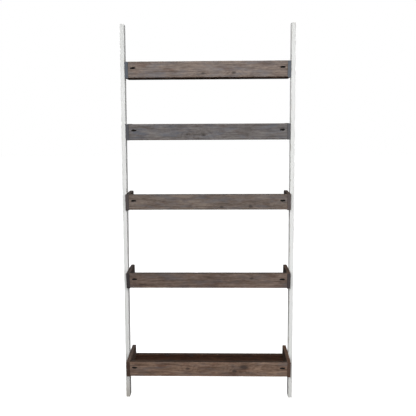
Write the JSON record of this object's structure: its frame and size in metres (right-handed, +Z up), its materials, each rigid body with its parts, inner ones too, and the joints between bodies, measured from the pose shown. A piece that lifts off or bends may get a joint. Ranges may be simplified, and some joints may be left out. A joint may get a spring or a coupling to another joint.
{
  "type": "ladder shelf",
  "caption": "Leaning ladder shelf: two straight white rails carry dark wooden open trays that grow deeper towards the floor.",
  "frame": {"origin": "on the floor, in the middle of the outline seen from above", "axes": "+Z up, +X to the right seen from the front, +Y towards the wall that the shelf leans on"},
  "size_m": [0.838, 0.342, 1.83],
  "materials": {
    "white_paint": "satin white paint on wood",
    "stained_wood": "weathered brown stain, matt",
    "dark_wood": "dark brown stain, matt",
    "black_steel": "black phosphate"
  },
  "bodies": {
    "root": {"left_rail": "white_paint", "right_rail": "white_paint", "tray_1_front_board": "stained_wood", "tray_1_left_side": "stained_wood", "tray_1_right_side": "stained_wood", "tray_1_back_strip": "dark_wood", "tray_1_floor": "dark_wood", "tray_1_left_pocket_screw": "black_steel", "tray_1_left_upper_screw": "black_steel", "tray_1_left_lower_screw": "black_steel", "tray_1_right_pocket_screw": "black_steel", "tray_1_right_upper_screw": "black_steel", "tray_1_right_lower_screw": "black_steel", "tray_2_front_board": "stained_wood", "tray_2_left_side": "stained_wood", "tray_2_right_side": "stained_wood", "tray_2_back_strip": "dark_wood", "tray_2_floor": "dark_wood", "tray_2_left_pocket_screw": "black_steel", "tray_2_left_upper_screw": "black_steel", "tray_2_left_lower_screw": "black_steel", "tray_2_right_pocket_screw": "black_steel", "tray_2_right_upper_screw": "black_steel", "tray_2_right_lower_screw": "black_steel", "tray_3_front_board": "stained_wood", "tray_3_left_side": "stained_wood", "tray_3_right_side": "stained_wood", "tray_3_back_strip": "dark_wood", "tray_3_floor": "dark_wood", "tray_3_left_pocket_screw": "black_steel", "tray_3_left_upper_screw": "black_steel", "tray_3_left_lower_screw": "black_steel", "tray_3_right_pocket_screw": "black_steel", "tray_3_right_upper_screw": "black_steel", "tray_3_right_lower_screw": "black_steel", "tray_4_front_board": "stained_wood", "tray_4_left_side": "stained_wood", "tray_4_right_side": "stained_wood", "tray_4_back_strip": "dark_wood", "tray_4_floor": "dark_wood", "tray_4_left_pocket_screw": "black_steel", "tray_4_left_upper_screw": "black_steel", "tray_4_left_lower_screw": "black_steel", "tray_4_right_pocket_screw": "black_steel", "tray_4_right_upper_screw": "black_steel", "tray_4_right_lower_screw": "black_steel", "tray_5_front_board": "stained_wood", "tray_5_left_side": "stained_wood", "tray_5_right_side": "stained_wood", "tray_5_back_strip": "dark_wood", "tray_5_floor": "dark_wood", "tray_5_left_pocket_screw": "black_steel", "tray_5_left_upper_screw": "black_steel", "tray_5_left_lower_screw": "black_steel", "tray_5_right_pocket_screw": "black_steel", "tray_5_right_upper_screw": "black_steel", "tray_5_right_lower_screw": "black_steel"}
  },
  "joints": []
}
